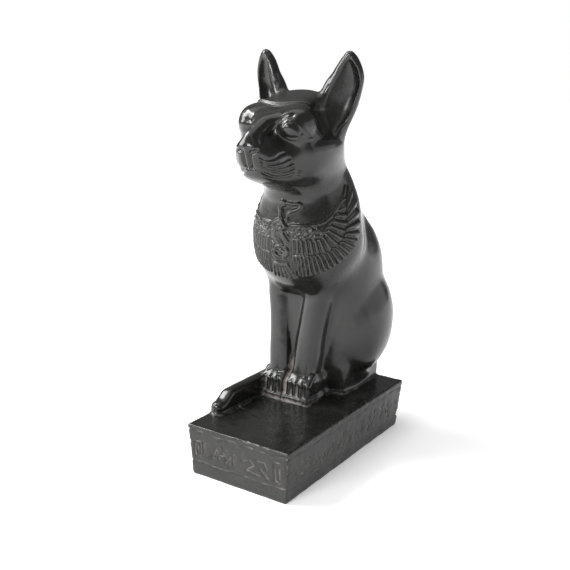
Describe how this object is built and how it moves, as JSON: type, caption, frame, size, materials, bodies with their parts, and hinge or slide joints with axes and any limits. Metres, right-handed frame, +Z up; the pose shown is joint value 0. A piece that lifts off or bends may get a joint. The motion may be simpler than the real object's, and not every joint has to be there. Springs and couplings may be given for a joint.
{
  "type": "egyptian cat statue",
  "caption": "Seated cat figure in polished black stone with a winged collar, its tail along the edge of the oblong plinth that it is carved in one with.",
  "frame": {"origin": "middle of the plinth's underside", "axes": "+Z up, the cat faces -Y, +X is the cat's left"},
  "size_m": [0.0501, 0.0888, 0.1502],
  "materials": {
    "black_stone": "polished near-black stone, greyer and duller on the plinth's sides, with pale dust in the cuts"
  },
  "bodies": {
    "root": {"cat_statue": "black_stone"}
  },
  "joints": []
}
